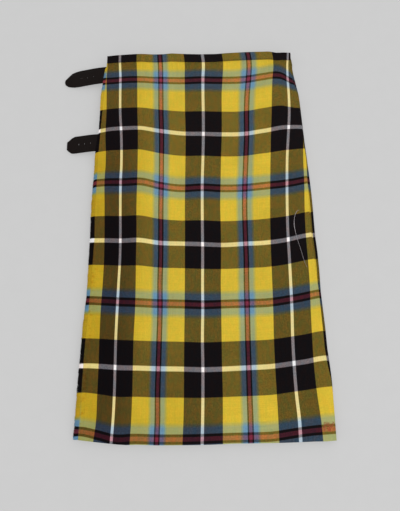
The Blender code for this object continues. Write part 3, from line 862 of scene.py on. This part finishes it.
def strap(name, look):
    """A strap with rounded edges, a creased line inside them and punched holes."""
    tip_x, tip_down, slope, first_hole, shape = STRAPS[name]
    root = (float(outline("left", tip_down)) + STRAP_ROOT - tip_x) / math.cos(math.radians(slope))
    stops = np.concatenate([np.linspace(0, 3, 6), np.linspace(3.6, 26, 26), np.linspace(28, root, 26)])
    from_tip, above_at, below_at = zip(*shape)
    profile = STRAP_PROFILE + tuple((-share, full) for share, full in STRAP_PROFILE[-2::-1])
    thick = STRAP_THICK / 2
    tops, bottoms = [], []
    for stop in stops:
        x, y = strap_line(tip_x, tip_down, slope, stop)
        above = float(np.interp(stop, from_tip, above_at))
        below = float(np.interp(stop, from_tip, below_at))
        z = strap_z(x, tip_x, tip_down)
        rim = min(1.0, 0.55 + 0.45 * math.sqrt(min(stop, root - stop, 1.2) / 1.2))
        middle, half = (above - below) / 2, (above + below) / 2
        top, bottom = [], []
        for share, full in profile:
            at = (x + ORIGIN[0], y + middle + share * half + ORIGIN[1])
            top.append((*at, z + thick * full * rim))
            bottom.append((*at, z - thick * min(1.0, full + 0.12) * rim))
        tops.append(top)
        bottoms.append(bottom)
    tops, bottoms = np.array(tops) * MM, np.array(bottoms) * MM
    rows, columns = tops.shape[:2]
    index = np.arange(rows * columns).reshape(rows, columns)
    lower = index + rows * columns
    quads = [cells(index)[:, [0, 3, 2, 1]], cells(lower)]
    rim_loop = np.concatenate([index[0], index[1:, -1], index[-1, -2::-1], index[-2:0:-1, 0]])
    ahead = np.roll(rim_loop, -1)
    offset = rows * columns
    quads.append(np.stack([ahead, rim_loop, rim_loop + offset, ahead + offset], -1))
    mesh = bpy.data.meshes.new(name)
    points = np.concatenate([tops.reshape(-1, 3), bottoms.reshape(-1, 3)])
    mesh.from_pydata(points.tolist(), [], np.concatenate(quads).tolist())
    mesh.validate()
    made = new_object(f"{name}_leather", mesh, look)
    cutters = []
    for count in range(STRAP_HOLES):
        x, y = strap_line(tip_x, tip_down, slope, first_hole + count * HOLE_STEP)
        bpy.ops.mesh.primitive_cylinder_add(vertices=24, radius=HOLE / 2 * MM, depth=12 * MM)
        punch = bpy.context.object
        punch.location = ((x + ORIGIN[0]) * MM, (y + ORIGIN[1]) * MM, strap_z(x, tip_x, tip_down) * MM)
        cut = made.modifiers.new(f"hole_{count + 1}", "BOOLEAN")
        cut.operation = "DIFFERENCE"
        cut.object = punch
        cutters.append(punch)
    settle(made, sharp=38)
    for punch in cutters:
        bpy.data.objects.remove(punch)
    return made


class Look:
    """A node material, with short calls for the nodes it needs."""

    def __init__(self, name):
        self.material = bpy.data.materials.new(name)
        self.material.use_nodes = True
        self.tree = self.material.node_tree
        self.shader = self.tree.nodes["Principled BSDF"]

    def node(self, kind, **settings):
        made = self.tree.nodes.new(kind)
        for name, value in settings.items():
            setattr(made, name, value)
        return made

    def link(self, source, target):
        self.tree.links.new(source, target)

    def value(self, socket, given):
        if isinstance(given, bpy.types.NodeSocket):
            self.link(given, socket)
        elif given is not None:
            socket.default_value = given

    def math(self, operation, a, b=None, c=None):
        made = self.node("ShaderNodeMath", operation=operation)
        for socket, given in zip(made.inputs, (a, b, c)):
            self.value(socket, given)
        return made.outputs[0]

    def mix(self, share, a, b, blend="MIX"):
        made = self.node("ShaderNodeMix", data_type="RGBA", blend_type=blend)
        self.value(made.inputs[0], share)
        self.value(made.inputs[6], a)
        self.value(made.inputs[7], b)
        return made.outputs[2]

    def noise(self, vector, scale, detail=2.0, rough=0.5):
        made = self.node("ShaderNodeTexNoise")
        self.value(made.inputs["Vector"], vector)
        made.inputs["Scale"].default_value = scale
        made.inputs["Detail"].default_value = detail
        made.inputs["Roughness"].default_value = rough
        return made.outputs["Fac"]

    def parts(self, vector):
        """The vector's x, y and z."""
        made = self.node("ShaderNodeSeparateXYZ")
        self.link(vector, made.inputs[0])
        return made.outputs

    def channels(self, colour):
        """The colour's red, green and blue."""
        made = self.node("ShaderNodeSeparateColor")
        self.link(colour, made.inputs[0])
        return made.outputs

    def place(self):
        return self.node("ShaderNodeTexCoord").outputs["Object"]

    def spread(self, value, low, high, kind="SMOOTHSTEP"):
        """Value mapped to 0 at low and 1 at high, and clamped."""
        made = self.node("ShaderNodeMapRange", interpolation_type=kind)
        self.link(value, made.inputs[0])
        made.inputs[1].default_value = low
        made.inputs[2].default_value = high
        return made.outputs[0]

    def times(self, a, b):
        return self.math("MULTIPLY", a, b)

    def stretched(self, vector, scale):
        made = self.node("ShaderNodeVectorMath", operation="MULTIPLY")
        self.link(vector, made.inputs[0])
        made.inputs[1].default_value = scale
        return made.outputs[0]

    def bump(self, height, distance, strength, normal=None):
        made = self.node("ShaderNodeBump")
        made.inputs["Distance"].default_value = distance
        made.inputs["Strength"].default_value = strength
        self.link(height, made.inputs["Height"])
        if normal is not None:
            self.link(normal, made.inputs["Normal"])
        return made.outputs["Normal"]

    def set(self, **values):
        for name, given in values.items():
            self.value(self.shader.inputs[name.replace("_", " ")], given)


def yarn_ramp(look, place, column):
    """The yarn's colour at a place in the half repeat, as shown on a screen, to the power of MIXING."""
    made = look.node("ShaderNodeValToRGB")
    colours = [(*[(channel / 255) ** MIXING for channel in YARNS[row[0]]], 1) for row in HALF_REPEAT]
    wanted = [(0.0, colours[0])]
    for before, after, row in zip(colours, colours[1:], HALF_REPEAT[1:]):
        soft = SOFT_BLUE if row[0] == "blue" else SOFT
        wanted += [(row[column] - soft, before), (row[column] + soft, after)]
    stops = made.color_ramp.elements
    while len(stops) < len(wanted):
        stops.new(1.0)
    for stop, (position, colour) in zip(stops, wanted):
        stop.position = position
        stop.color = colour
    look.link(place, made.inputs[0])
    return made.outputs[0]


def wool_look(name, weft_only=False):
    """Worsted twill: two sets of yarns that cross in diagonal ribs."""
    look = Look(name)
    repeats = look.node("ShaderNodeUVMap", uv_map="check").outputs[0]
    across, down = look.parts(repeats)[:2]
    warp_place = look.times(look.math("PINGPONG", across, 0.5), 2.0)
    weft_place = look.math("SUBTRACT", 1.0, look.times(look.math("PINGPONG", down, 0.5), 2.0))
    warp, weft = yarn_ramp(look, warp_place, 1), yarn_ramp(look, weft_place, 2)
    in_mm = look.stretched(repeats, (REPEAT_ACROSS, REPEAT_DOWN, 1.0))
    x, y = look.parts(in_mm)[:2]
    rib = look.math("SINE", look.times(look.math("ADD", x, y), 2 * math.pi / TWILL))
    warp_yarn = look.math("SINE", look.times(x, 2 * math.pi / YARN_PAIR))
    weft_yarn = look.math("SINE", look.times(y, 2 * math.pi / YARN_PAIR))
    if weft_only:
        red, _, blue = look.channels(weft)[:3]
        rubbed = look.times(look.spread(look.math("SUBTRACT", red, blue), 0.0, 0.2), 0.12)
        shown = look.mix(rubbed, weft, (0.88, 0.80, 0.42, 1))
    else:
        shown = look.mix(look.math("MULTIPLY_ADD", rib, 0.16, 0.47), warp, weft)
    warp_streak = look.noise(look.stretched(in_mm, (0.9, 0.02, 1.0)), 1.0, 3.0, 0.6)
    weft_streak = look.noise(look.stretched(in_mm, (0.02, 0.9, 1.0)), 1.0, 3.0, 0.6)
    cloud = look.noise(look.stretched(in_mm, (0.02, 0.02, 1.0)), 1.0, 2.0, 0.5)
    streaks = look.math("ADD", look.math("ADD", warp_streak, weft_streak), cloud)
    fuzz = look.noise(in_mm, 1.3, 4.0, 0.7)
    shade = look.math("MULTIPLY_ADD", streaks, 0.10, 0.85)
    shade = look.math("ADD", shade, look.math("MULTIPLY_ADD", fuzz, 0.10, -0.05))
    grey = look.node("ShaderNodeCombineColor")
    for socket in grey.inputs:
        look.link(shade, socket)
    coloured = shown
    # The last layer is painted shade, darker towards the fringed side and its hem
    for layer in (grey.outputs[0], mottled(look, in_mm, shown), painted_side_shade(look, shown)):
        coloured = look.mix(1.0, coloured, layer, "MULTIPLY")
    creases = None if weft_only else puckered(look)
    # Painted shade, darker and browner, in the creases along the fringed edge
    if creases is not None:
        painted_crease_shade = look.mix(1.0, coloured, (0.90, 0.82, 0.70, 1), "MULTIPLY")
        coloured = look.mix(creases, coloured, painted_crease_shade)
    linear = look.node("ShaderNodeGamma")
    look.link(coloured, linear.inputs[0])
    linear.inputs[1].default_value = 2.2 / MIXING
    height = look.times(rib, 0.6)
    for layer, share in ((warp_yarn, 0.25), (weft_yarn, 0.25), (fuzz, 1.2)):
        height = look.math("ADD", height, look.times(layer, share))
    normal = look.bump(height, 0.00012, 0.55)
    puckers = look.noise(look.stretched(in_mm, (0.035, 0.012, 1.0)), 1.0, 2.0, 0.5)
    normal = look.bump(puckers, 0.0022, 0.5, normal)
    if creases is not None:
        normal = look.bump(creases, 0.0006, 0.3, normal)
    look.set(Base_Color=linear.outputs[0], Roughness=0.92, Specular_IOR_Level=0.06, Normal=normal)
    look.set(Sheen_Weight=0.02, Sheen_Roughness=0.5)
    return look.material


def crossed_yarns(look, shown):
    """1 where dark and bright yarns cross, 0 on the bright ones alone."""
    return look.spread(look.channels(shown)[1], 0.74, 0.52)


def mottled(look, in_mm, shown):
    """Small uneven patches, browner and greener, where dark and bright yarns cross, with painted shade that
    darkens those yarns towards the hem.
    """
    patches = look.noise(look.stretched(in_mm, (0.17, 0.09, 1.0)), 1.0, 1.0, 0.5)
    browner, greener = (1.035, 0.98, 0.955, 1), (0.945, 0.985, 0.99, 1)
    tint = look.mix(look.spread(patches, 0.34, 0.66), greener, browner)
    flecks = look.noise(look.stretched(in_mm, (0.5, 0.4, 1.0)), 1.0, 1.0, 0.5)
    darker, paler = (0.945, 0.95, 0.955, 1), (1.045, 1.04, 1.03, 1)
    tint = look.mix(1.0, tint, look.mix(look.spread(flecks, 0.3, 0.7), darker, paler), "MULTIPLY")
    crossed = crossed_yarns(look, shown)
    # Painted shade: where yarns cross they are a little lighter towards the waist and darker towards the
    # hem
    low = look.spread(look.parts(look.place())[1], 0.16, -0.10)
    painted_low_shade = look.mix(low, (1.02, 1.015, 1.04, 1), (0.955, 0.96, 1.0, 1))
    tint = look.mix(look.math("MULTIPLY_ADD", crossed, 0.72, 0.28), (1, 1, 1, 1), tint)
    return look.mix(1.0, tint, look.mix(crossed, (0.995, 0.992, 0.99, 1), painted_low_shade), "MULTIPLY")


def puckered(look):
    """Short crosswise creases along the fringed edge, as a share from 0 to 1, for their bump and their
    painted shade.
    """
    place = look.node("ShaderNodeUVMap", uv_map="place").outputs[0]
    from_edge, down = look.parts(place)[:2]
    creases = look.noise(look.stretched(place, (0.12, 0.20, 1.0)), 1.0, 2.0, 0.5)
    low_enough = look.math("MULTIPLY_ADD", look.spread(down, 20.0, 60.0), 0.45, 0.15)
    near_edge = look.times(look.spread(from_edge, 13.0, 3.0), look.spread(creases, 0.47, 0.72))
    return look.times(near_edge, low_enough)


def painted_side_shade(look, shown):
    """Painted shade: all but the pale yarns are a little darker and warmer towards the fringed side and its
    hem.
    """
    x, y = look.parts(look.place())[:2]
    sideways = look.spread(x, -0.045, -0.115, "SMOOTHERSTEP")
    downwards = look.spread(y, 0.28, 0.05, "SMOOTHERSTEP")
    low = look.spread(y, -0.12, -0.30, "SMOOTHERSTEP")
    towards_left = look.spread(x, 0.08, -0.05, "SMOOTHERSTEP")
    side = look.times(sideways, look.math("MULTIPLY_ADD", downwards, 0.55, 0.45))
    corner = look.times(low, look.times(towards_left, 0.45))
    amount = look.math("MAXIMUM", side, corner)
    deep = look.spread(look.channels(shown)[2], 0.75, 0.35)
    tone = look.mix(crossed_yarns(look, shown), (0.92, 0.90, 0.77, 1), (0.865, 0.835, 0.87, 1))
    return look.mix(look.times(amount, deep), (1, 1, 1, 1), tone)


def leather_look(name):
    look = Look(name)
    place = look.place()
    pores = look.node("ShaderNodeTexVoronoi", feature="DISTANCE_TO_EDGE")
    look.link(place, pores.inputs["Vector"])
    pores.inputs["Scale"].default_value = 1100.0
    grain = look.noise(place, 420.0, 4.0, 0.65)
    blotch = look.noise(place, 60.0, 3.0, 0.6)
    edge = look.node("ShaderNodeNewGeometry").outputs["Pointiness"]
    # Painted highlight: a lighter brown on the strap's sharp rims
    painted_rim_highlight = look.spread(edge, 0.53, 0.62, "LINEAR")
    tone = look.mix(blotch, (0.0028, 0.0010, 0.0006, 1), (0.0066, 0.0028, 0.0019, 1))
    tone = look.mix(look.times(painted_rim_highlight, 0.30), tone, (0.030, 0.018, 0.012, 1))
    height = look.math("ADD", look.times(pores.outputs["Distance"], 1.4), look.times(grain, 0.8))
    look.set(
        Base_Color=tone,
        Roughness=look.math("MULTIPLY_ADD", grain, 0.22, 0.40),
        Specular_IOR_Level=0.1,
        Normal=look.bump(height, 0.00018, 0.6),
    )
    return look.material


def metal_look(name):
    look = Look(name)
    place = look.place()
    scratches = look.noise(look.stretched(place, (300.0, 2600.0, 300.0)), 1.0, 3.0, 0.6)
    tarnish = look.noise(place, 220.0, 3.0, 0.6)
    tone = look.mix(tarnish, (0.50, 0.47, 0.42, 1), (0.74, 0.72, 0.68, 1))
    look.set(
        Base_Color=tone,
        Metallic=1.0,
        Roughness=look.math("MULTIPLY_ADD", scratches, 0.25, 0.18),
        Normal=look.bump(scratches, 0.00003, 0.4),
    )
    return look.material


def thread_look(name, colour):
    look = Look(name)
    place = look.place()
    twist = look.noise(place, 1500.0, 2.0, 0.5)
    tone = look.mix(twist, tuple(0.7 * channel for channel in colour[:3]) + (1,), colour)
    look.set(Base_Color=tone, Roughness=0.85, Specular_IOR_Level=0.1, Normal=look.bump(twist, 0.0001, 0.5))
    return look.material


def floor_look():
    """Pale paper lit from behind as well, so shadows on it stay faint."""
    look = Look("studio_paper")
    place = look.place()
    fibre = look.noise(place, 40.0, 3.0, 0.6)
    tone = look.mix(fibre, (0.22, 0.22, 0.22, 1), (0.24, 0.24, 0.24, 1))
    look.set(Base_Color=tone, Roughness=0.95, Specular_IOR_Level=0.0)
    look.set(Emission_Color=(1, 1, 1, 1), Emission_Strength=0.385)
    return look.material


def studio():
    """Pale floor, soft light and the camera that looks at the kilt from a little below its hem."""
    bpy.context.scene.view_settings.view_transform = "Standard"
    mesh = bpy.data.meshes.new("floor")
    size, low = 3.0, -0.0004
    corners = [(-size, -size, low), (size, -size, low), (size, size, low), (-size, size, low)]
    mesh.from_pydata(corners, [], [(0, 1, 2, 3)])
    new_object("floor", mesh, floor_look())
    world = bpy.data.worlds.new("studio")
    bpy.context.scene.world = world
    world.use_nodes = True
    background = world.node_tree.nodes["Background"]
    background.inputs["Color"].default_value = (1, 1, 1, 1)
    background.inputs["Strength"].default_value = 0.85
    lamp = bpy.data.lights.new("window", "AREA")
    lamp.shape = "RECTANGLE"
    lamp.size, lamp.size_y = 2.2, 2.2
    lamp.energy = 11.0
    window = bpy.data.objects.new("window", lamp)
    window.location = (1.1, -0.7, 1.7)
    towards = Vector((0.1, 0.0, 0)) - Vector(window.location)
    window.rotation_euler = towards.to_track_quat("-Z", "Y").to_euler()
    bpy.context.scene.collection.objects.link(window)
    lens = bpy.data.cameras.new("camera")
    lens.lens, lens.sensor_width = 45.16, 36.0
    camera = bpy.data.objects.new("camera", lens)
    camera.location = (0.0155, -0.3005, 0.9214)
    camera.rotation_euler = (math.radians(16.11), 0, 0)
    bpy.context.scene.collection.objects.link(camera)
    bpy.context.scene.camera = camera


def keep(piece, slot, *nodes):
    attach(piece, "root")
    if nodes:
        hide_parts(*nodes)
    return piece


studio()
wool = wool_look("check_wool")
fringe_wool = wool_look("fringe_wool", weft_only=True)
leather = leather_look("strap_leather")
metal = metal_look("buckle_metal")
dark_thread = thread_look("dark_thread", (0.02, 0.017, 0.015, 1))
brick_thread = thread_look("brick_thread", (0.58, 0.15, 0.07, 1))
pale_thread = thread_look("pale_thread", (0.60, 0.54, 0.56, 1))

back_points, back = back_cloth(wool)
under_points, under = under_cloth(wool)
front_points, front = front_cloth(wool)
band_sheets = bands(wool)
strip = fringe_strip(wool)
threads = fringe_threads(fringe_wool)
sewn = stitches(dark_thread)
stray = stray_thread(pale_thread)
rough = corner_threads(brick_thread)

keep(back, "check_wool", "pleated_back")
keep(under, "check_wool", "under_apron")
keep(front, "check_wool", "front_apron")
for which in ("front", "back", "under"):
    keep(band_sheets[f"band_{which}"][1], "band_wool", f"waistband_{which}")
keep(strip, "check_wool")
keep(threads, "fringe_wool", "apron_fringe")
keep(sewn, "band_wool")
keep(stray, "fringe_wool")
keep(rough, "fringe_wool")
for name in STRAPS:
    keep(strap(name, leather), "strap_leather", name)

for node, look in (("frame", metal), ("prong", metal), ("chape", leather)):
    for which in ("waist", "hip"):
        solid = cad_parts[f"buckle_{which}_{node}"]
        for place in solid.material_slots:
            place.material = look
